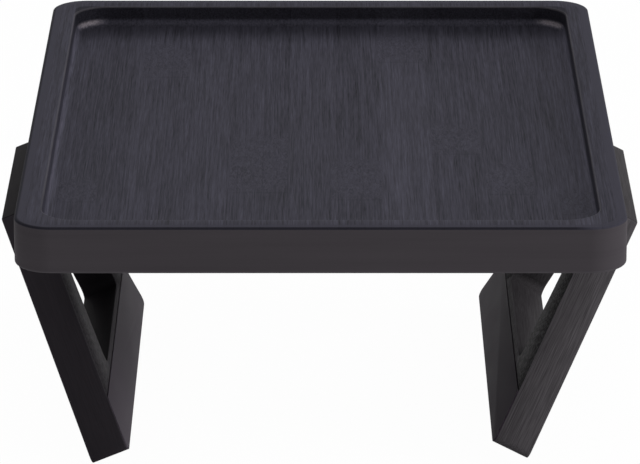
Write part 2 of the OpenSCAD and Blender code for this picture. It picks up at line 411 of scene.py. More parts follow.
class StudioSettings(bpy.types.PropertyGroup):
    """Floor, light and camera"""

    floor: FloatVectorProperty(
        name="Floor",
        description="Colour of the plain floor",
        subtype="COLOR",
        default=(0.86, 0.86, 0.86),
    )
    key: FloatProperty(
        name="Key light",
        description="Power of the large soft light on the right",
        default=30.0,
        unit="POWER",
    )
    top: FloatProperty(
        name="Top light",
        description="Power of the soft light overhead",
        default=14.0,
        unit="POWER",
    )
    room: FloatProperty(
        name="Room light",
        description="Strength of the even light from all round",
        default=0.45,
    )
    lens: FloatProperty(
        name="Lens",
        description="Focal length of the camera, in millimetres",
        default=267.536,
    )
    pitch: FloatProperty(
        name="Camera pitch",
        description="How far the camera looks down",
        default=math.radians(18.8311),
        subtype="ANGLE",
    )
    eye: FloatVectorProperty(
        name="Camera place",
        description="Place of the camera",
        subtype="XYZ",
        unit="LENGTH",
        default=(-0.00028, -2.3842, 0.76641),
    )


# Modelling


def deselect():
    """Leaves edit mode and deselects everything."""
    if bpy.context.object and bpy.context.object.mode != "OBJECT":
        bpy.ops.object.mode_set(mode="OBJECT")
    bpy.ops.object.select_all(action="DESELECT")


def only(piece):
    """Selects this piece alone and makes it active."""
    deselect()
    piece.select_set(True)
    bpy.context.view_layer.objects.active = piece


@contextmanager
def editing(piece):
    """Edit mode on one piece, with nothing selected."""
    only(piece)
    bpy.ops.object.mode_set(mode="EDIT")
    bpy.ops.mesh.select_all(action="DESELECT")
    yield
    bpy.ops.object.mode_set(mode="OBJECT")


def pick(kind, test):
    """Selects the vertices, edges or faces of the mesh being edited that pass the test."""
    bpy.ops.mesh.select_mode(type=kind)
    bpy.ops.mesh.select_all(action="DESELECT")
    mesh = bpy.context.object.data
    shape = bmesh.from_edit_mesh(mesh)
    parts = {"VERT": shape.verts, "EDGE": shape.edges, "FACE": shape.faces}[kind]
    found = [part for part in parts if test(part)]
    if not found:
        raise RuntimeError("nothing to select on " + bpy.context.object.name)
    for part in found:
        part.select_set(True)
    shape.select_flush_mode()
    bmesh.update_edit_mesh(mesh)


def near(a, b):
    """True where two places are the same."""
    return abs(a - b) < PLACE_ROOM


def new_plate(name, width, depth, z=0.0):
    """A flat plate, the start of a board."""
    deselect()
    bpy.ops.mesh.primitive_plane_add(size=1, location=(0, 0, z))
    piece = bpy.context.object
    piece.name = name
    piece.data.name = name
    piece.scale = (width, depth, 1)
    bpy.ops.object.transform_apply(location=True, rotation=True, scale=True)
    return piece


def extrude_edges(*way):
    """Draws new faces out of the selected edges."""
    bpy.ops.mesh.extrude_edges_move(TRANSFORM_OT_translate={"value": way})


def thicken(height):
    """Gives the flat plate being edited its height."""
    bpy.ops.mesh.select_all(action="SELECT")
    bpy.ops.mesh.extrude_region_move(TRANSFORM_OT_translate={"value": (0, 0, height)})
    face_out()


def round_corners(offset, segments, test):
    """Rounds picked corners of a flat plate."""
    pick("VERT", test)
    bpy.ops.mesh.bevel(offset=offset, segments=segments, profile=0.5, affect="VERTICES")


def round_edges(offset, segments, test):
    """Rounds picked edges of a solid."""
    pick("EDGE", test)
    bpy.ops.mesh.bevel(
        offset=offset, segments=segments, profile=0.5, affect="EDGES", loop_slide=False
    )


def ring_between_loops():
    """Turns two flat plates, one inside the other, into the ring between them."""
    bpy.ops.mesh.select_all(action="SELECT")
    bpy.ops.mesh.delete(type="ONLY_FACE")
    bpy.ops.mesh.select_mode(type="EDGE")
    bpy.ops.mesh.select_all(action="SELECT")
    bpy.ops.mesh.bridge_edge_loops()


def face_out():
    """Turns all the faces of the mesh being edited outwards."""
    bpy.ops.mesh.select_all(action="SELECT")
    bpy.ops.mesh.remove_doubles(threshold=MERGE_DISTANCE)
    bpy.ops.mesh.normals_make_consistent(inside=False)
    bpy.ops.mesh.select_all(action="DESELECT")


def cut(piece, point, normal):
    """Cuts away what lies on the normal's side of a plane and closes the cut."""
    with editing(piece):
        bpy.ops.mesh.select_all(action="SELECT")
        bpy.ops.mesh.bisect(
            plane_co=point, plane_no=normal, use_fill=True, clear_outer=True,
            threshold=MERGE_DISTANCE,
        )


def mark_faces(piece, name, test):
    """Writes 1 on the faces that pass the test, for a material to read."""
    mark = piece.data.attributes.new(name, "FLOAT", "FACE")
    for face in piece.data.polygons:
        mark.data[face.index].value = 1.0 if test(face) else 0.0


def place(piece, matrix):
    """Puts a piece in its place, with the place in its mesh."""
    only(piece)
    piece.matrix_world = matrix
    bpy.ops.object.transform_apply(location=True, rotation=True, scale=True)


def finish_piece(piece, body, slot, material, *nodes):
    """Smooths a piece, gives it its finish, ties it to the CAD body and hides the CAD nodes it stands
    for.
    """
    only(piece)
    bpy.ops.object.shade_smooth_by_angle(angle=SMOOTH_ANGLE)
    piece.data.materials.clear()
    piece.data.materials.append(material)
    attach(piece, body)
    if nodes:
        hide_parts(*nodes)
    return piece


def dress(node, material):
    """Gives a CAD node its finish."""
    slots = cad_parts[node].data.materials
    if len(slots) == 0:
        slots.append(material)
    for i in range(len(slots)):
        slots[i] = material


def copy_of_node(node, name):
    """A merged copy of a CAD node's mesh, with its flat faces made whole."""
    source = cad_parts[node]
    piece = bpy.data.objects.new(name, source.data.copy())
    bpy.context.scene.collection.objects.link(piece)
    with editing(piece):
        bpy.ops.mesh.select_all(action="SELECT")
        bpy.ops.mesh.remove_doubles(threshold=MERGE_DISTANCE)
        bpy.ops.mesh.dissolve_limited(angle_limit=FLAT_ANGLE)
    return piece


def sides_shared(edge, low, high):
    """How many sides of a box an edge lies in."""
    return sum(
        all(near(v.co[i], side[i]) for v in edge.verts) for i in range(3) for side in (low, high)
    )


# Materials


class Finish:
    """The nodes of one material."""

    def __init__(self, name):
        self.material = bpy.data.materials.new(name)
        self.material.use_nodes = True
        self.tree = self.material.node_tree
        self.tree.nodes.clear()
        self.output = self.node("ShaderNodeOutputMaterial")
        self.shader = self.node("ShaderNodeBsdfPrincipled")
        self.join(self.shader.outputs["BSDF"], self.output.inputs["Surface"])

    def node(self, kind, **settings):
        """Adds a node with the given settings."""
        made = self.tree.nodes.new(kind)
        for key, value in settings.items():
            setattr(made, key, value)
        return made

    def join(self, value, socket):
        """Links a node's output to a socket, or sets a plain value on it."""
        if isinstance(value, bpy.types.NodeSocket):
            self.tree.links.new(value, socket)
        elif socket.type == "VECTOR":
            socket.default_value = value[:3]
        else:
            socket.default_value = value

    def number(self, operation, a, b=0.0, clamp=False):
        """Works out a number from one or two others, each a plain value or a node's output."""
        made = self.node("ShaderNodeMath", operation=operation, use_clamp=clamp)
        for value, socket in zip((a, b), made.inputs):
            self.join(value, socket)
        return made.outputs[0]

    def add(self, a, b):
        return self.number("ADD", a, b)

    def times(self, a, b):
        return self.number("MULTIPLY", a, b)

    def distance(self, value, place):
        """How far a value is from a place, either way."""
        return self.number("ABSOLUTE", self.number("SUBTRACT", value, place))

    def largest(self, a, b):
        return self.number("MAXIMUM", a, b)

    def swing(self, value, amount):
        """A pattern from 0 to 1, turned to one that swings by half the amount both ways."""
        return self.times(self.number("SUBTRACT", value, 0.5), amount)

    def step(self, value, start, end):
        """0 up to the start, 1 from the end on, smooth between. The start may be the higher."""
        made = self.node("ShaderNodeMapRange", interpolation_type="SMOOTHSTEP")
        self.join(value, made.inputs["Value"])
        made.inputs["From Min"].default_value = start
        made.inputs["From Max"].default_value = end
        return made.outputs["Result"]

    def object_point(self):
        """A point's place in the frame that all pieces share."""
        return self.node("ShaderNodeTexCoord").outputs["Object"]

    def object_normal(self):
        return self.node("ShaderNodeTexCoord").outputs["Normal"]

    def laid(self, point, centre, turn):
        """A point on the piece, in the piece's own directions."""
        made = self.node("ShaderNodeMapping", vector_type="TEXTURE")
        self.join(point, made.inputs["Vector"])
        made.inputs["Location"].default_value = centre
        made.inputs["Rotation"].default_value = turn
        return made.outputs["Vector"]

    def stretched(self, vector, sizes):
        """A point counted in lengths of the given sizes, so that noise is that long each way."""
        made = self.node("ShaderNodeVectorMath", operation="MULTIPLY")
        self.join(vector, made.inputs[0])
        made.inputs[1].default_value = [1 / s for s in sizes]
        return made.outputs[0]

    def split(self, vector):
        made = self.node("ShaderNodeSeparateXYZ")
        self.join(vector, made.inputs[0])
        return made.outputs[0], made.outputs[1], made.outputs[2]

    def joined(self, x, y, z):
        made = self.node("ShaderNodeCombineXYZ")
        for value, socket in zip((x, y, z), made.inputs):
            self.join(value, socket)
        return made.outputs[0]

    def noise(self, vector, detail=2.0, roughness=0.5, distortion=0.0):
        """Soft noise, one length of its vector from one blotch to the next."""
        made = self.node("ShaderNodeTexNoise", noise_dimensions="3D")
        self.join(vector, made.inputs["Vector"])
        made.inputs["Scale"].default_value = 1.0
        made.inputs["Detail"].default_value = detail
        made.inputs["Roughness"].default_value = roughness
        made.inputs["Distortion"].default_value = distortion
        return made.outputs["Fac"]

    def chance(self, value):
        """A fixed random number for each whole value."""
        made = self.node("ShaderNodeTexWhiteNoise", noise_dimensions="1D")
        self.join(value, made.inputs["W"])
        return made.outputs["Value"]

    def mix(self, amount, a, b):
        """Colour a where amount is 0, b where it is 1."""
        made = self.node("ShaderNodeMix", data_type="RGBA", clamp_factor=True)
        # The node's sockets for numbers and vectors come before those for colours
        self.join(amount, made.inputs[0])
        self.join(a, made.inputs[6])
        self.join(b, made.inputs[7])
        return made.outputs[2]

    def blend(self, amount, a, b):
        """Number a where amount is 0, b where it is 1."""
        made = self.node("ShaderNodeMix", data_type="FLOAT", clamp_factor=True)
        self.join(amount, made.inputs[0])
        self.join(a, made.inputs[2])
        self.join(b, made.inputs[3])
        return made.outputs[0]

    def shade(self, colour, amount):
        """A colour made darker or lighter."""
        made = self.node("ShaderNodeVectorMath", operation="SCALE")
        self.join(colour, made.inputs[0])
        self.join(amount, made.inputs["Scale"])
        return made.outputs[0]

    def rounded_away(self, x, y, half_x, half_y, radius):
        """How far a point lies inside a rounded rectangle's outline."""
        over_x = self.add(self.number("ABSOLUTE", x), radius - half_x)
        over_y = self.add(self.number("ABSOLUTE", y), radius - half_y)
        out_x = self.largest(over_x, 0.0)
        out_y = self.largest(over_y, 0.0)
        far = self.number("SQRT", self.add(self.times(out_x, out_x), self.times(out_y, out_y)))
        within = self.number("MINIMUM", self.largest(over_x, over_y), 0.0)
        return self.number("SUBTRACT", radius, self.add(far, within))

    def mark(self, name):
        """1 on the faces that mark_faces has marked, 0 elsewhere."""
        return self.node("ShaderNodeAttribute", attribute_name=name).outputs["Fac"]

    def bump(self, height, distance, strength):
        """Gives the surface a fine relief."""
        made = self.node("ShaderNodeBump")
        made.inputs["Strength"].default_value = strength
        made.inputs["Distance"].default_value = distance
        self.join(height, made.inputs["Height"])
        self.join(made.outputs["Normal"], self.shader.inputs["Normal"])

    def set(self, **values):
        """Sets the shader's sockets, named with _ for a space."""
        for key, value in values.items():
            self.join(value, self.shader.inputs[key.replace("_", " ")])


def rgba(colour, k=1.0):
    """A colour with its alpha, k times as light."""
    return (colour[0] * k, colour[1] * k, colour[2] * k, 1.0)


def basis(across, along):
    """The Euler turn of a piece whose boards lie across x along x thick."""
    x, y = across.normalized(), along.normalized()
    z = x.cross(y)
    return Matrix((x, y, z)).transposed().to_euler("XYZ")


# Sizes of the bamboo's patterns: across the strips, along the fibres and through the board
WANDER_SIZE = (0.02, 0.16, 0.02)
STREAK_SIZE = (0.0026, 0.16, 0.0026)
PORE_SIZE = (0.00035, 0.012, 0.00035)
CLOUD_SIZE = (0.03, 0.09, 0.03)
FLECK_SIZE = (0.0013, 0.0055, 0.0013)
RAGGED_SIZE = (0.0022, 0.030, 0.0022)
RUB_SIZE = (0.012, 0.030, 0.012)
SAW_MARK_SIZE = (0.0013, 0.0050, 0.1)
LAYER_SIZE = (0.085, 0.085, 0.0011)
LEVEL_SIZE = (0.12, 0.12, 0.006)

# Knuckles in the board: place across, place along, half width, half length
KNUCKLES = (
    (-0.0315, -0.064, 0.0148, 0.046),
    (0.0184, -0.090, 0.0131, 0.032),
    (0.0700, -0.024, 0.0128, 0.024),
    (0.0962, -0.090, 0.0122, 0.024),
    (-0.1227, -0.107, 0.0100, 0.019),
    (0.1290, -0.127, 0.0090, 0.019),
    (-0.0840, 0.118, 0.0128, 0.030),
    (0.0440, 0.142, 0.0128, 0.026),
)

# How dark each frame's top rail, inner faces and window walls are made, as painted shade under the
# tray, on the right frame's inner faces and in the windows, and how strong its grain is
FRAME_LOOKS = {
    LEFT: {"top": 0.32, "face": 1.0, "wall": 0.30, "contrast": 0.4},
    RIGHT: {"top": 0.60, "face": 0.45, "wall": 0.70, "contrast": 1.2},
}
# How much lighter the inner face of a frame's top and bottom rails is
CROSS_RAIL_FACE = 1.3
# Widths of the frames' strips and boards, and the strengths and sizes of their grain
RAIL_GRAIN = {
    "strip": 0.0062,
    "board": 0.0185,
    "broad": 0.06,
    "fine": 1.2,
    "pores": 1.0,
    "patchy": 0.4,
    "thread": (0.00045, 0.022),
    "roughness": 0.56,
}
# Widths of the strips and boards of the hidden wood
BATTEN_GRAIN = {"strip": 0.0062, "board": 0.02, "roughness": 0.6}
DOWEL_GRAIN = {"strip": 0.004, "board": 0.02, "roughness": 0.6}
# Each rail, its side's seed and its own added, and each batten draws other shades
SIDE_SEEDS = {LEFT: 28.0, RIGHT: 35.0}
RAIL_SEEDS = {"top": 9.0, "bottom": 18.0, FRONT: 15.0, REAR: 12.0}
BATTEN_SEEDS = {LEFT: 5.0, RIGHT: 9.0}

# Sizes of the steel's brush marks: across, along and through
LEAF_BRUSH = (0.00035, 0.025, 0.00035)
PIN_BRUSH = (0.004, 0.0003, 0.004)
WIRE_BRUSH = (0.0008, 0.0002, 0.0008)
SCREW_BRUSH = (0.0006, 0.0006, 0.0006)


class Bamboo(Finish):
    """Bamboo strips glued side by side under a dark stain, made step by step: the stain's colour,
    its tone, which makes it lighter or darker, and the relief."""

    def __init__(self, name, centre, turn):
        super().__init__(name)
        self.turn = turn
        self.point = self.laid(self.object_point(), centre, turn)
        self.x, self.y, self.z = self.split(self.point)

    def tint(self, amount, factor):
        """Makes the stain lighter or darker by a factor, where amount is 1."""
        self.tone = self.times(self.tone, self.blend(amount, 1.0, factor))

    def lay_strips(self, colour, strip, board, seed):
        """Strips and broader boards, each with a shade of its own, and the strips' dark seams."""
        strip_shift, board_shift = 0.31, 0.80
        board_draw = 57.0
        seam_start, seam_end = 0.482, 0.496
        seam_strength, seam_dark = 0.35, 0.45
        slide = 0.9
        strips = self.add(self.number("DIVIDE", self.x, strip), strip_shift + seed)
        boards = self.add(self.number("DIVIDE", self.x, board), board_shift + seed)
        self.strip_shade = self.chance(self.number("FLOOR", strips))
        self.board_shade = self.chance(self.add(self.number("FLOOR", boards), board_draw))
        from_middle = self.distance(self.number("FRACT", strips), 0.5)
        seam = self.times(self.step(from_middle, seam_start, seam_end), seam_strength)
        self.stain = self.mix(seam, rgba(colour), rgba(colour, seam_dark))
        # Each strip's fibres are slid along, so they don't run on into the next strip
        self.slid = self.add(self.y, self.times(self.strip_shade, slide))
        self.fibres = self.joined(self.x, self.slid, self.z)

    def grow_grain(self, contrast, broad, fine, pores, patchy, thread):
        """Long soft streaks, fibres and fine pores, on strips, boards and clouds of tone."""
        sway = 0.0022
        strip_swing, board_swing, cloud_swing = 0.10, 0.12, 0.22
        fibre_height, pore_height = 0.6, 0.4
        wander = self.swing(self.noise(self.stretched(self.fibres, WANDER_SIZE)), sway)
        swayed = self.joined(self.add(self.x, wander), self.slid, self.z)
        thread_size = (thread[0], thread[1], thread[0])
        streak = self.noise(self.stretched(swayed, STREAK_SIZE))
        self.fibre = self.noise(self.stretched(swayed, thread_size), detail=3.0, roughness=0.6)
        pore = self.noise(self.stretched(swayed, PORE_SIZE))
        self.cloud = self.noise(self.stretched(self.fibres, CLOUD_SIZE))
        self.tone = 1.0
        for pattern, amount in (
            (streak, broad),
            (self.fibre, fine),
            (pore, pores),
            (self.strip_shade, strip_swing * patchy),
            (self.board_shade, board_swing * patchy),
            (self.cloud, cloud_swing * patchy),
        ):
            self.tone = self.add(self.tone, self.swing(pattern, amount * contrast))
        self.relief = self.add(self.times(self.fibre, fibre_height), self.times(pore, pore_height))

    def grow_knuckles(self, knuckles, contrast):
        """Speckled knuckles, where the fibres break up into short flecks, with a faint ring at
        one end."""
        side_blur, end_blur, end_core = 0.0006, 0.008, 0.010
        ragged_ends, ring_place = 0.06, 1.05
        ring_start, ring_end, ring_dark = 0.0016, 0.0004, -0.10
        fleck_swing, cloud_swing = 1.25, 0.3
        patch_strength, patch_height = 0.85, 0.8
        fleck = self.noise(self.stretched(self.fibres, FLECK_SIZE), detail=3.0, distortion=1.2)
        torn = self.noise(self.stretched(self.fibres, RAGGED_SIZE), detail=3.0)
        torn_y = self.add(self.y, self.swing(torn, ragged_ends))
        patch = 0.0
        ring = 0.0
        for across, along, half_x, half_y in knuckles:
            in_x = self.step(
                self.distance(self.x, across), half_x + side_blur, half_x - side_blur
            )
            in_y = self.step(self.distance(torn_y, along), half_y + end_blur, half_y - end_core)
            patch = self.largest(patch, self.times(in_x, in_y))
            from_ring = self.distance(self.y, along - half_y * ring_place)
            ring = self.largest(ring, self.times(self.step(from_ring, ring_start, ring_end), in_x))
        broken = self.add(1.0, self.swing(fleck, fleck_swing * contrast))
        broken = self.add(broken, self.swing(self.cloud, cloud_swing))
        self.tone = self.blend(self.times(patch, patch_strength), self.tone, broken)
        self.tone = self.add(self.tone, self.times(ring, ring_dark))
        self.relief = self.blend(self.times(patch, patch_height), self.relief, fleck)

    def finish_board(self, colour, s):
        """The board's own finish and its painted light and shade, by how far in from the board's
        outline a point lies.
        """
        away = self.rounded_away(self.x, self.y, s.width / 2, s.depth / 2, s.corner)
        self.shade_recess(colour, s, away)
        self.seal_edges(colour, s, away)

    def seal_edges(self, colour, s, away):
        """The board's sides, sealed and level and paler, partly as a painted reflection, with a
        painted shade line along the top's rounded edge that fades out at the right, where the light
        falls, and a smooth band beside it."""
        edge_low, edge_high = s.height - s.edge, s.height - s.edge / 2
        side_reach = (0.0050, 0.0040)
        band_reach = (0.0056, 0.0046)
        band_strength, band_tone = 0.8, 1.04
        line_reach = (0.0020, 0.0012)
        line_drop, shade_line_dark = 0.0011, 0.42
        shade_line_fade = (0.136, 0.122)
        layer_swing, level_swing, layer_height = 0.14, 0.20, 0.35
        outer = self.times(self.step(self.z, edge_high, edge_low), self.step(away, *side_reach))
        layer = self.noise(self.stretched(self.point, LAYER_SIZE), detail=3.0, roughness=0.6)
        level = self.noise(self.stretched(self.point, LEVEL_SIZE), detail=1.0)
        sealed = self.add(1.0, self.swing(layer, layer_swing))
        sealed = self.add(sealed, self.swing(level, level_swing))
        band = self.times(self.step(away, *band_reach), self.step(self.z, edge_low, edge_high))
        line = self.step(self.z, s.height - line_drop, edge_high)
        line = self.times(self.step(away, *line_reach), line)
        line = self.times(line, self.step(self.x, *shade_line_fade))
        self.tone = self.blend(self.times(band, band_strength), self.tone, band_tone)
        self.tone = self.blend(outer, self.tone, sealed)
        # Painted shade: a dark line along the top's rounded edge, faded out towards the right corner
        # where the light falls
        self.tint(line, shade_line_dark)
        self.relief = self.blend(outer, self.relief, self.times(layer, layer_height))
        # The sides take the paler edge colour: partly a sealed side, partly a painted reflection
        self.stain = self.mix(outer, self.stain, rgba(colour))

    def shade_recess(self, colour, s, away):
        """The recess, with painted light and shade: a dark wall over a lighter cove, a painted shadow
        towards the back and a painted highlight in the corners' coves.
        """
        cove_highlight_tone, wall_shade_tone, back_shadow_tone, corner_highlight_tone = 1.55, 0.75, 0.50, 3.0
        rim_blur, wall_above_floor = 0.0006, 0.0043
        upright_reach = (0.94, 0.60)
        back_shadow_reach = (0.148, 0.178)
        corner_x, corner_y = (0.118, 0.128), (0.171, 0.179)
        floor_z = s.height - s.recess
        corner_reach = (floor_z + 0.0047, floor_z + 0.0030)
        below_rim = (s.height - 0.0001, s.height - 0.0007)
        in_recess = self.step(away, s.rim - rim_blur, s.rim)
        normal_z = self.split(self.laid(self.object_normal(), (0, 0, 0), self.turn))[2]
        upright = self.step(self.number("ABSOLUTE", normal_z), *upright_reach)
        inner = self.times(upright, in_recess)
        inner = self.times(inner, self.step(self.z, *below_rim))
        on_wall = self.step(self.z, floor_z + s.cove / 2, floor_z + wall_above_floor)
        # Painted shade on the recess walls and a painted highlight on the coves below them
        self.tint(inner, self.blend(on_wall, cove_highlight_tone, wall_shade_tone))
        # Painted shadow: the recess darker towards the back wall
        self.tint(self.times(self.step(self.y, *back_shadow_reach), in_recess), back_shadow_tone)
        # Painted highlight: the coves in the recess corners made paler, in the pale edge colour
        corner = self.times(
            self.step(self.number("ABSOLUTE", self.x), *corner_x),
            self.step(self.number("ABSOLUTE", self.y), *corner_y),
        )
        corner = self.times(self.times(corner, inner), self.step(self.z, *corner_reach))
        self.tint(corner, corner_highlight_tone)
        self.stain = self.mix(corner, self.stain, rgba(colour))

    def saw_inner_faces(self, saw, face):
        """A frame's inner faces: made darker or lighter, darker as painted shade on the right frame's
        side rails, and crossing saw marks.
        """
        slant, hatch_swing = 0.4, 1.8
        inner = self.mark("inner_face")
        rise = self.times(self.x, slant)
        up, down = self.add(self.y, rise), self.number("SUBTRACT", self.y, rise)
        one = self.noise(self.stretched(self.joined(up, down, self.z), SAW_MARK_SIZE))
        other = self.noise(self.stretched(self.joined(down, up, self.z), SAW_MARK_SIZE))
        hatch = self.add(self.swing(one, hatch_swing), self.swing(other, hatch_swing))
        marks = self.times(self.times(inner, hatch), saw)
        self.tone = self.times(self.tone, self.add(self.blend(inner, 1.0, face), marks))

    def varnish(self, wear_and_highlight, roughness):
        """Sets the shader: the stain, paler along the marked edges as wear and a painted highlight,
        under a dull varnish.
        """
        darkest = 0.15
        pale_edge_level, pale_edge_swing, pale_edge_strength = 0.75, 0.9, 0.45
        fibre_swing, cloud_swing = 0.16, 0.10
        sheen = 0.012
        depth, strength = 0.00010, 0.55
        body = self.shade(self.stain, self.largest(self.tone, darkest))
        rub = self.noise(self.stretched(self.point, RUB_SIZE))
        pale_edge = self.times(self.mark("wear_and_highlight"), self.add(pale_edge_level, self.swing(rub, pale_edge_swing)))
        uneven = self.swing(self.fibre, fibre_swing)
        uneven = self.add(uneven, self.swing(self.cloud, cloud_swing))
        self.set(
            Base_Color=self.mix(self.times(pale_edge, pale_edge_strength), body, rgba(wear_and_highlight)),
            Roughness=self.number("ADD", roughness, uneven, clamp=True),
            Specular_IOR_Level=sheen,
        )
        self.bump(self.relief, depth, strength)
        return self.material


def stained_bamboo(
    name,
    colour,
    wear_and_highlight,
    centre,
    turn,
    strip=0.0128,
    board=0.0262,
    seed=3.0,
    contrast=1.0,
    knuckles=(),
    edges=None,
    sizes=None,
    saw=0.0,
    face=1.0,
    wall=1.0,
    broad=0.22,
    fine=1.3,
    pores=0.8,
    patchy=1.0,
    thread=(0.00085, 0.050),
    roughness=0.55,
):
    """Bamboo stained nearly black and sealed. Its fibres run along the piece."""
    bamboo = Bamboo(name, centre, turn)
    bamboo.lay_strips(colour, strip, board, seed)
    bamboo.grow_grain(contrast, broad, fine, pores, patchy, thread)
    if knuckles:
        bamboo.grow_knuckles(knuckles, contrast)
    if edges:
        bamboo.finish_board(edges, sizes)
    # Inner faces are made lighter or darker, darker as painted shade on the right frame; the window
    # walls are darker as painted shade
    if saw or face != 1.0:
        bamboo.saw_inner_faces(saw, face)
    if wall != 1.0:
        bamboo.tint(bamboo.mark("window"), wall)
    return bamboo.varnish(wear_and_highlight, roughness)


def grip_rubber(name, colour, centre, turn):
    """Smooth moulded rubber with a faint matt bloom."""
    bloom_size = (0.016, 0.030, 0.016)
    grit_size = (0.00045, 0.00045, 0.00045)
    rub_size = (0.003, 0.02, 0.003)
    bloom_swing, grit_swing, rough_swing = 0.20, 0.16, 0.14
    rub_start, rub_end, pale_edge_strength, pale_edge_light = 0.35, 0.65, 0.35, 2.0
    roughness, sheen = 0.62, 0.04
    depth, strength = 0.00006, 0.35
    f = Finish(name)
    point = f.laid(f.object_point(), centre, turn)
    bloom = f.noise(f.stretched(point, bloom_size), detail=3.0)
    grit = f.noise(f.stretched(point, grit_size))
    rubbed = f.noise(f.stretched(point, rub_size), detail=3.0)
    tone = f.add(f.add(1.0, f.swing(bloom, bloom_swing)), f.swing(grit, grit_swing))
    # Paler along the pad's small edge faces: partly wear, partly a painted highlight
    pale_edge = f.times(f.times(f.mark("wear_and_highlight"), f.step(rubbed, rub_start, rub_end)), pale_edge_strength)
    f.set(
        Base_Color=f.mix(pale_edge, f.shade(rgba(colour), tone), rgba(colour, pale_edge_light)),
        Roughness=f.number("ADD", roughness, f.swing(bloom, rough_swing), clamp=True),
        Specular_IOR_Level=sheen,
    )
    f.bump(grit, depth, strength)
    return f.material


def brushed_steel(name, colour, brush, centre=(0, 0, 0), turn=(0, 0, 0), roughness=0.36):
    """Plated steel, brushed one way, dull in patches."""
    dull_size, speck_size = (0.006, 0.006, 0.006), (0.0007, 0.0007, 0.0007)
    line_swing, dull_swing = 0.30, 0.30
    rough_dull, rough_line = 0.30, 0.14
    spot_start, spot_end, spot_strength, spot_dark = 0.66, 0.74, 0.5, 0.45
    depth, strength = 0.00003, 0.4
    f = Finish(name)
    point = f.laid(f.object_point(), centre, turn)
    line = f.noise(f.stretched(point, brush), detail=3.0, roughness=0.6)
    dull = f.noise(f.stretched(point, dull_size), detail=4.0)
    speck = f.noise(f.stretched(point, speck_size))
    tone = f.add(f.add(1.0, f.swing(line, line_swing)), f.swing(dull, dull_swing))
    spots = f.times(f.step(speck, spot_start, spot_end), spot_strength)
    uneven = f.add(f.swing(dull, rough_dull), f.swing(line, rough_line))
    f.set(
        Base_Color=f.mix(spots, f.shade(rgba(colour), tone), rgba(colour, spot_dark)),
        Metallic=1.0,
        Roughness=f.number("ADD", roughness, uneven, clamp=True),
    )
    f.bump(line, depth, strength)
    return f.material


def looked_at(tree):
    """1 where the camera, a mirror or glass looks, and 0 where the light falls on the tray."""
    path = tree.nodes.new("ShaderNodeLightPath")
    seen = path.outputs["Is Camera Ray"]
    for ray in ("Is Glossy Ray", "Is Transmission Ray"):
        either = tree.nodes.new("ShaderNodeMath")
        either.operation = "MAXIMUM"
        tree.links.new(seen, either.inputs[0])
        tree.links.new(path.outputs[ray], either.inputs[1])
        seen = either.outputs[0]
    return seen


def studio_floor(name, colour):
    """Plain matt floor. The camera and mirrors see it nearly white, with the shadow kept."""
    mottle_size, mottle_swing = (0.5, 0.5, 0.5), 0.01
    whiteness = 0.98
    f = Finish(name)
    mottle = f.noise(f.stretched(f.object_point(), mottle_size))
    f.set(
        Base_Color=f.shade(rgba(colour), f.add(1.0, f.swing(mottle, mottle_swing))),
        Roughness=0.9,
        Specular_IOR_Level=0.0,
    )
    glow = f.node("ShaderNodeEmission")
    glow.inputs["Color"].default_value = (1, 1, 1, 1)
    glow.inputs["Strength"].default_value = 1.0
    both = f.node("ShaderNodeMixShader")
    f.join(f.times(looked_at(f.tree), whiteness), both.inputs[0])
    f.join(f.shader.outputs["BSDF"], both.inputs[1])
    f.join(glow.outputs[0], both.inputs[2])
    f.join(both.outputs[0], f.output.inputs["Surface"])
    return f.material


def studio_world(name, strength):
    """Even white light from all round, which the camera and mirrors see as plain white."""
    world = bpy.data.worlds.new(name)
    world.use_nodes = True
    tree = world.node_tree
    tree.nodes.clear()
    both = tree.nodes.new("ShaderNodeMixShader")
    tree.links.new(looked_at(tree), both.inputs[0])
    for power, socket in ((strength, both.inputs[1]), (1.0, both.inputs[2])):
        light = tree.nodes.new("ShaderNodeBackground")
        light.inputs["Color"].default_value = (1, 1, 1, 1)
        light.inputs["Strength"].default_value = power
        tree.links.new(light.outputs[0], socket)
    out = tree.nodes.new("ShaderNodeOutputWorld")
    tree.links.new(both.outputs[0], out.inputs["Surface"])
    return world


# Places on the frames


def frame_matrix(s, side):
    """From a frame's own plane (x along the arm, y up the slope, z outwards) to its place."""
    lean = s.left_lean if side == LEFT else s.right_lean
    way = -1 if side == LEFT else 1
    out = Vector((way * math.cos(lean), 0, -math.sin(lean)))
    up = Vector((way * math.sin(lean), 0, math.cos(lean)))
    along = up.cross(out)
    pivot = Vector((way * s.hinge_x, 0, -s.hinge_drop))
    origin = pivot + out * s.seat - up * s.drop
    turn = Matrix((along, up, out)).transposed()
    return Matrix.Translation(origin) @ turn.to_4x4()


def slope(s):
    """How much wider a frame gets on each side, for its length."""
    return (s.bottom_width - s.top_width) / 2 / s.length


def half_width(s, down):
    """Half the frame's width at a distance down its slope."""
    return s.top_width / 2 + slope(s) * down


def window_half(s, down):
    """Half the window's width at a distance down the slope."""
    part = (down - s.top_rail) / (s.length - s.bottom_rail - s.top_rail)
    return half_width(s, down) - s.side_rail - (s.side_rail_low - s.side_rail) * part


def corner_cut(lean, radius, top):
    """How far a corner's rounding reaches along its sides."""
    inner = math.pi / 2 + lean if top else math.pi / 2 - lean
    return radius / math.tan(inner / 2)


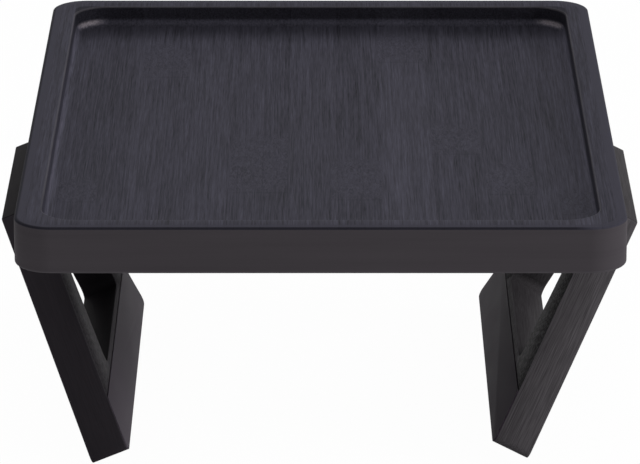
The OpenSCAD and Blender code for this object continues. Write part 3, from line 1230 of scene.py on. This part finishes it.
def trapezoid(name, top_half, top_at, bottom_half, bottom_at, top_r, bottom_r, segments):
    """A flat trapezoid with rounded corners, in the frame's own plane."""
    lean = math.atan((bottom_half - top_half) / (bottom_at - top_at))
    piece = new_plate(name, top_half * 2, bottom_at - top_at)
    place(piece, Matrix.Translation((0, -(top_at + bottom_at) / 2, 0)))
    with editing(piece):
        pick("VERT", lambda v: near(v.co.y, -bottom_at))
        bpy.ops.transform.resize(value=(bottom_half / top_half, 1, 1))
        for top, radius, level in ((True, top_r, top_at), (False, bottom_r, bottom_at)):
            round_corners(
                corner_cut(lean, radius, top), segments, lambda v: near(v.co.y, -level)
            )
    return piece


def frame_outline(name, s):
    """The outline of a whole frame, as a flat plate."""
    return trapezoid(
        name, half_width(s, 0), 0.0, half_width(s, s.length), s.length,
        s.top_corner, s.bottom_corner, FRAME_CORNER_STEPS,
    )


def flat_and_side(edge):
    """True on an edge between a board's flat face and its side."""
    if len(edge.link_faces) != 2:
        return False
    a, b = sorted(abs(face.normal.z) for face in edge.link_faces)
    return a < UPRIGHT_NORMAL and b > FLAT_NORMAL


def in_window(s, face):
    """True on a face of a frame's window walls."""
    x, down = face.center.x, -face.center.y
    return (
        abs(face.normal.z) < EASED_NORMALS[0]
        and s.top_rail * INTO_RAIL < down < s.length - s.bottom_rail * INTO_RAIL
        and abs(x) < half_width(s, down) - s.side_rail * INTO_RAIL
    )


def frame_board(name, s):
    """The whole frame as one board with its window, edges eased."""
    board = frame_outline(name, s)
    low = s.length - s.bottom_rail
    window = trapezoid(
        name + "_window", window_half(s, s.top_rail), s.top_rail, window_half(s, low), low,
        s.window_top, s.window_bottom, FRAME_CORNER_STEPS,
    )
    only(board)
    window.select_set(True)
    bpy.ops.object.join()
    with editing(board):
        ring_between_loops()
        thicken(s.thickness)
        round_edges(s.eased, EASED_STEPS, flat_and_side)
        face_out()
    mark_faces(
        board, "wear_and_highlight", lambda face: EASED_NORMALS[0] < abs(face.normal.z) < EASED_NORMALS[1]
    )
    mark_faces(board, "inner_face", lambda face: face.normal.z < -FLAT_NORMAL)
    mark_faces(board, "window", lambda face: in_window(s, face))
    return board


def mitre(s, end, top):
    """A mitre's outer corner and the way across it, towards the top or bottom rail."""
    if top:
        out = Vector((end * half_width(s, 0), 0, 0))
        into = Vector((end * window_half(s, s.top_rail), -s.top_rail, 0))
    else:
        low = s.length - s.bottom_rail
        out = Vector((end * half_width(s, s.length), -s.length, 0))
        into = Vector((end * window_half(s, low), -low, 0))
    line = (into - out).normalized()
    normal = Vector((-line.y, line.x, 0))
    towards = Vector((0, 0 if top else -s.length, 0)) - out
    if normal.dot(towards) < 0:
        normal = -normal
    return out, normal


def cut_cross_rail(rail, s, top):
    """Cuts the top or bottom rail out of a whole frame. Gives the rail's middle, and the ways
    across and along its grain."""
    for way in (-1, 1):
        out, normal = mitre(s, way, top)
        cut(rail, out, -normal)
    # The mitres' planes meet beyond the window, so the far rail goes as well
    cut(rail, (0, -s.length / 2, 0), (0, -1 if top else 1, 0))
    middle = -s.top_rail / 2 if top else s.bottom_rail / 2 - s.length
    return Vector((0, middle, 0)), Y_AXIS, X_AXIS


def cut_side_rail(rail, s, end):
    """Cuts the rail on one side of the window out of a whole frame, and gives the same."""
    for top in (True, False):
        out, normal = mitre(s, end, top)
        cut(rail, out, normal)
    lean = math.atan(slope(s))
    middle = half_width(s, s.length / 2) - s.side_rail / 2
    across = Vector((math.cos(lean), end * math.sin(lean), 0))
    along = Vector((end * math.sin(lean), -math.cos(lean), 0))
    return Vector((end * middle, -s.length / 2, 0)), across, along


# Operators


class TRAY_OT_board(bpy.types.Operator):
    """Models the tray board: rounded plate, raised rim, routed recess with a cove"""

    bl_idname = "tray.board"
    bl_label = "Tray board"

    def execute(self, context):
        s, c = context.scene.tray_board, context.scene.tray_finish
        board = new_plate("stained_tray_board", s.width, s.depth, s.height)
        recess = new_plate("recess_line", s.width - 2 * s.rim, s.depth - 2 * s.rim, s.height)
        for plate, radius in ((board, s.corner), (recess, s.recess_corner)):
            with editing(plate):
                round_corners(radius, BOARD_CORNER_STEPS, lambda v: True)
        only(board)
        recess.select_set(True)
        bpy.ops.object.join()
        floor_z = s.height - s.recess

        def inside(point):
            """True within the middle line of the rim."""
            return (
                abs(point.x) < (s.width - s.rim) / 2 and abs(point.y) < (s.depth - s.rim) / 2
            )

        def level(edge, z):
            """True on an edge that lies level at this height."""
            return all(near(v.co.z, z) for v in edge.verts)

        with editing(board):
            ring_between_loops()
            for within, fall in ((False, s.height), (True, s.recess)):
                pick("EDGE", lambda e: e.is_boundary and inside(e.verts[0].co) == within)
                extrude_edges(0, 0, -fall)
                bpy.ops.mesh.edge_face_add()
            face_out()
            round_edges(s.cove, COVE_STEPS, lambda e: level(e, floor_z))
            round_edges(
                s.rim_edge, RIM_STEPS,
                lambda e: level(e, s.height) and all(inside(v.co) for v in e.verts),
            )
            round_edges(
                s.edge, BOARD_EDGE_STEPS,
                lambda e: len(e.link_faces) == 2
                and (level(e, s.height) or level(e, 0))
                and not any(inside(v.co) for v in e.verts),
            )
            face_out()
        # Pale rounded edges at the bottom and round the recess: partly wear, partly a painted
        # highlight
        least, most = BOARD_ROUND_NORMALS
        mark_faces(
            board, "wear_and_highlight",
            lambda face: least < abs(face.normal.z) < most
            and (
                face.center.z < s.edge
                or face.center.z > s.height - s.rim_edge and inside(face.center)
            ),
        )
        material = stained_bamboo(
            "stained_bamboo_board", c.board, c.wear_and_highlight, (0, 0, 0), (0, 0, 0),
            knuckles=KNUCKLES, edges=c.edges, sizes=s, contrast=1.5,
        )
        finish_piece(board, "tray", "stained_bamboo", material, "tray_board")
        return {"FINISHED"}


class TRAY_OT_frames(bpy.types.Operator):
    """Models the two leg frames, each four mitred rails round a window"""

    bl_idname = "tray.frames"
    bl_label = "Leg frames"

    def execute(self, context):
        s, c = context.scene.tray_frames, context.scene.tray_finish
        for side in (LEFT, RIGHT):
            to_place = frame_matrix(s, side)
            turn = to_place.to_3x3()
            # In the frame's own plane the left frame's front is at +x, the right one's at -x
            front = 1 if side == LEFT else -1
            look = FRAME_LOOKS[side]
            # Each frame's colour holds painted light and shade: the left darker, the right lighter
            colour = c.left_frame if side == LEFT else c.right_frame
            for part, end in (("top", 0), ("bottom", 0), (FRONT, front), (REAR, -front)):
                rail = frame_board(f"{side}_{part}_bamboo_rail", s)
                top = part == "top"
                if end:
                    middle, across, along = cut_side_rail(rail, s, end)
                else:
                    middle, across, along = cut_cross_rail(rail, s, top)
                place(rail, to_place)
                # The top rail is darker as painted shade under the tray
                material = stained_bamboo(
                    f"stained_bamboo_{side}_{part}_rail",
                    [v * look["top"] for v in colour] if top else colour, c.wear_and_highlight,
                    to_place @ middle, basis(turn @ across, turn @ along),
                    seed=SIDE_SEEDS[side] + RAIL_SEEDS[part],
                    saw=0.0 if top else 1.0, face=look["face"] if end else CROSS_RAIL_FACE,
                    wall=look["wall"], contrast=look["contrast"], **RAIL_GRAIN,
                )
                finish_piece(
                    rail, f"{side}_frame", "stained_bamboo", material, f"{side}_{part}_rail"
                )
        return {"FINISHED"}


class TRAY_OT_grip_pads(bpy.types.Operator):
    """Models the thin wedge-shaped grip pads on the frames' inner faces"""

    bl_idname = "tray.grip_pads"
    bl_label = "Grip pads"

    def execute(self, context):
        s, c = context.scene.tray_frames, context.scene.tray_finish
        top = s.length - s.pad_width
        rise = s.pad_bottom - s.pad_top
        for side in (LEFT, RIGHT):
            to_place = frame_matrix(s, side)
            turn = to_place.to_3x3()
            pad = frame_outline(f"{side}_rubber_grip_pad", s)
            with editing(pad):
                thicken(-s.pad_bottom)
            cut(pad, (0, -top, 0), Y_AXIS)
            cut(pad, (0, -top, -s.pad_top), Vector((0, rise, -s.pad_width)).normalized())
            with editing(pad):
                face_out()
                round_edges(
                    PAD_EDGE, PAD_STEPS,
                    lambda e: len(e.link_faces) == 2
                    and e.calc_face_angle() > PAD_ANGLE
                    and not all(near(v.co.z, 0) for v in e.verts),
                )
                face_out()
            mark_faces(pad, "wear_and_highlight", lambda face: face.area < PAD_EDGE_AREA)
            place(pad, to_place)
            # Each pad's colour holds painted light and shade: the left lighter, the right darker
            material = grip_rubber(
                f"grip_rubber_{side}", c.left_grip_lit if side == LEFT else c.right_grip_shaded,
                to_place.translation, basis(turn @ Y_AXIS, turn @ X_AXIS),
            )
            finish_piece(pad, f"{side}_frame", "grip_rubber", material, f"{side}_grip_pad")
        return {"FINISHED"}


class TRAY_OT_battens(bpy.types.Operator):
    """Models the hinge battens under the board, edges eased, and finishes the dowels"""

    bl_idname = "tray.battens"
    bl_label = "Battens and dowels"

    def execute(self, context):
        s, c = context.scene.tray_frames, context.scene.tray_finish
        for side in (LEFT, RIGHT):
            node = f"{side}_batten"
            low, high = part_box(node)
            batten = copy_of_node(node, f"{side}_hinge_batten")
            with editing(batten):
                round_edges(
                    BATTEN_EDGE, BATTEN_STEPS, lambda e: sides_shared(e, low, high) >= 2
                )
            mark_faces(
                batten, "wear_and_highlight", lambda face: max(abs(n) for n in face.normal) < BATTEN_NORMAL
            )
            material = stained_bamboo(
                f"stained_bamboo_{side}_batten", c.dowel, c.wear_and_highlight, (low + high) / 2, (0, 0, 0),
                seed=BATTEN_SEEDS[side], **BATTEN_GRAIN,
            )
            finish_piece(batten, "tray", "dowel_wood", material, node)
            to_place = frame_matrix(s, side)
            turn = to_place.to_3x3()
            material = stained_bamboo(
                f"dowel_wood_{side}", c.dowel, c.wear_and_highlight, to_place.translation,
                basis(turn @ Y_AXIS, turn @ X_AXIS), **DOWEL_GRAIN,
            )
            dress(f"{side}_frame_dowels", material)
        return {"FINISHED"}


def straight_end(reach, test):
    """Ends the wire being edited with a straight stretch along the spring, and closes it."""
    pick("EDGE", test)
    extrude_edges(0, 0, 0)
    bpy.ops.transform.resize(value=(1, 1, 0))
    extrude_edges(0, 0, reach)
    bpy.ops.mesh.edge_face_add()


class TRAY_OT_springs(bpy.types.Operator):
    """Winds the four hinge springs in round wire"""

    bl_idname = "tray.springs"
    bl_label = "Hinge springs"

    def execute(self, context):
        s, c = context.scene.tray_springs, context.scene.tray_finish
        half = s.pitch * s.curls / 2
        for side, end in product((LEFT, RIGHT), (FRONT, REAR)):
            node = f"{side}_{end}_spring"
            low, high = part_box(node)
            middle = (low + high) / 2
            tail = (high.y - low.y) / 2 - half
            deselect()
            bpy.ops.mesh.primitive_circle_add(
                vertices=WIRE_SIDES, radius=s.wire / 2, fill_type="NOTHING",
                location=(s.radius, 0, 0), rotation=(math.pi / 2, 0, 0),
            )
            wire = bpy.context.object
            wire.name = wire.data.name = f"{side}_{end}_hinge_spring"
            bpy.ops.object.transform_apply(location=True, rotation=True, scale=True)
            turns = wire.modifiers.new("curls", "SCREW")
            turns.axis = "Z"
            turns.angle = 2 * math.pi * s.curls
            turns.screw_offset = s.pitch * s.curls
            turns.steps = turns.render_steps = CURL_STEPS * s.curls
            turns.use_merge_vertices = True
            bpy.ops.object.modifier_apply(modifier="curls")
            with editing(wire):
                straight_end(-tail, lambda e: e.is_boundary and e.verts[0].co.z < half)
                straight_end(tail, lambda e: e.is_boundary)
                face_out()
            # Its axis lies along the hinge pin
            place(
                wire,
                Matrix.Translation(middle)
                @ Matrix.Rotation(math.pi / 2, 4, "X")
                @ Matrix.Translation((0, 0, -half)),
            )
            material = brushed_steel(
                f"spring_steel_{side}_{end}", c.spring, WIRE_BRUSH, middle, roughness=0.30
            )
            finish_piece(wire, "tray", "spring_steel", material, node)
        return {"FINISHED"}


class TRAY_OT_hardware(bpy.types.Operator):
    """Finishes the hinge leaves, pins and screws"""

    bl_idname = "tray.hardware"
    bl_label = "Hinges and screws"

    def execute(self, context):
        s, c = context.scene.tray_frames, context.scene.tray_finish
        leaf = brushed_steel("hinge_steel_fixed", c.steel, LEAF_BRUSH)
        pin = brushed_steel("hinge_steel_pin", c.steel, PIN_BRUSH, roughness=0.28)
        screw = brushed_steel("screw_steel", c.screw, SCREW_BRUSH, roughness=0.34)
        for side in (LEFT, RIGHT):
            to_place = frame_matrix(s, side)
            turn = to_place.to_3x3()
            swung = brushed_steel(
                f"hinge_steel_{side}_moving", c.steel, LEAF_BRUSH,
                to_place.translation, basis(turn @ Y_AXIS, turn @ X_AXIS),
            )
            for end in (FRONT, REAR):
                dress(f"{side}_{end}_fixed_leaf", leaf)
                dress(f"{side}_{end}_hinge_pin", pin)
                dress(f"{side}_{end}_moving_leaf", swung)
            for group in ("batten", "fixed_leaf", "moving_leaf"):
                dress(f"{side}_{group}_screws", screw)
        return {"FINISHED"}


# The floor's size, its middle behind the tray, and its gap below the frames
FLOOR_SIZE, FLOOR_BACK, FLOOR_GAP = 16, 3, 0.0002
# Size, place and aim of the soft lights
KEY_LIGHT = (0.9, (2.1, -0.62, 0.70), (0, 0, -0.02))
TOP_LIGHT = (1.6, (0.1, 0.1, 1.9), (0, 0, 0))
# The camera's film, in millimetres, and how near and far it sees
FILM_WIDTH, CLIP_START, CLIP_END = 36, 0.05, 50


class TRAY_OT_studio(bpy.types.Operator):
    """Sets the floor, the soft lights and the camera"""

    bl_idname = "tray.studio"
    bl_label = "Studio"

    def execute(self, context):
        s = context.scene.tray_studio
        low = CAD_BOX[0].z
        deselect()
        bpy.ops.mesh.primitive_plane_add(
            size=FLOOR_SIZE, location=(0, FLOOR_BACK, low - FLOOR_GAP)
        )
        floor = bpy.context.object
        floor.name = "studio_floor"
        bpy.ops.object.transform_apply(location=True, rotation=True, scale=True)
        floor.data.materials.append(studio_floor("studio_floor", s.floor))

        for name, power, (size, spot, aim) in (
            ("key_light", s.key, KEY_LIGHT),
            ("top_light", s.top, TOP_LIGHT),
        ):
            bpy.ops.object.light_add(type="AREA", location=spot)
            light = bpy.context.object
            light.name = name
            light.data.energy = power
            light.data.size = size
            look = Vector(aim) - Vector(spot)
            light.rotation_euler = look.to_track_quat("-Z", "Y").to_euler()
        context.scene.world = studio_world("room", s.room)

        context.scene.view_settings.view_transform = "Standard"
        bpy.ops.object.camera_add(location=s.eye, rotation=(math.pi / 2 - s.pitch, 0, 0))
        camera = bpy.context.object
        camera.name = "camera"
        camera.data.sensor_width = FILM_WIDTH
        camera.data.lens = s.lens
        camera.data.clip_start, camera.data.clip_end = CLIP_START, CLIP_END
        context.scene.camera = camera
        return {"FINISHED"}


class TRAY_PT_panel(bpy.types.Panel):
    """Lists the tray's operators"""

    bl_idname = "TRAY_PT_panel"
    bl_label = "Sofa Arm Tray"
    bl_space_type = "VIEW_3D"
    bl_region_type = "UI"
    bl_category = "Tray"

    def draw(self, context):
        for group in ("tray_board", "tray_frames", "tray_springs", "tray_finish", "tray_studio"):
            box = self.layout.box()
            settings = getattr(context.scene, group)
            for key in settings.bl_rna.properties.keys():
                if key not in ("rna_type", "name"):
                    box.prop(settings, key)
        for operator in OPERATORS:
            self.layout.operator(operator.bl_idname)


GROUPS = {
    "tray_board": BoardSizes,
    "tray_frames": FrameSizes,
    "tray_springs": SpringSizes,
    "tray_finish": FinishColours,
    "tray_studio": StudioSettings,
}
OPERATORS = (
    TRAY_OT_board,
    TRAY_OT_frames,
    TRAY_OT_grip_pads,
    TRAY_OT_battens,
    TRAY_OT_springs,
    TRAY_OT_hardware,
    TRAY_OT_studio,
)


def register():
    """Registers the classes and hangs the settings on the scene."""
    for key, group in GROUPS.items():
        bpy.utils.register_class(group)
        setattr(bpy.types.Scene, key, PointerProperty(type=group))
    for operator in OPERATORS:
        bpy.utils.register_class(operator)
    bpy.utils.register_class(TRAY_PT_panel)


def unregister():
    """Undoes register."""
    bpy.utils.unregister_class(TRAY_PT_panel)
    for operator in reversed(OPERATORS):
        bpy.utils.unregister_class(operator)
    for key, group in reversed(GROUPS.items()):
        delattr(bpy.types.Scene, key)
        bpy.utils.unregister_class(group)


def main():
    """Builds the finished tray and its studio."""
    register()
    bpy.ops.tray.board()
    bpy.ops.tray.frames()
    bpy.ops.tray.grip_pads()
    bpy.ops.tray.battens()
    bpy.ops.tray.springs()
    bpy.ops.tray.hardware()
    bpy.ops.tray.studio()


if __name__ == "__main__":
    main()
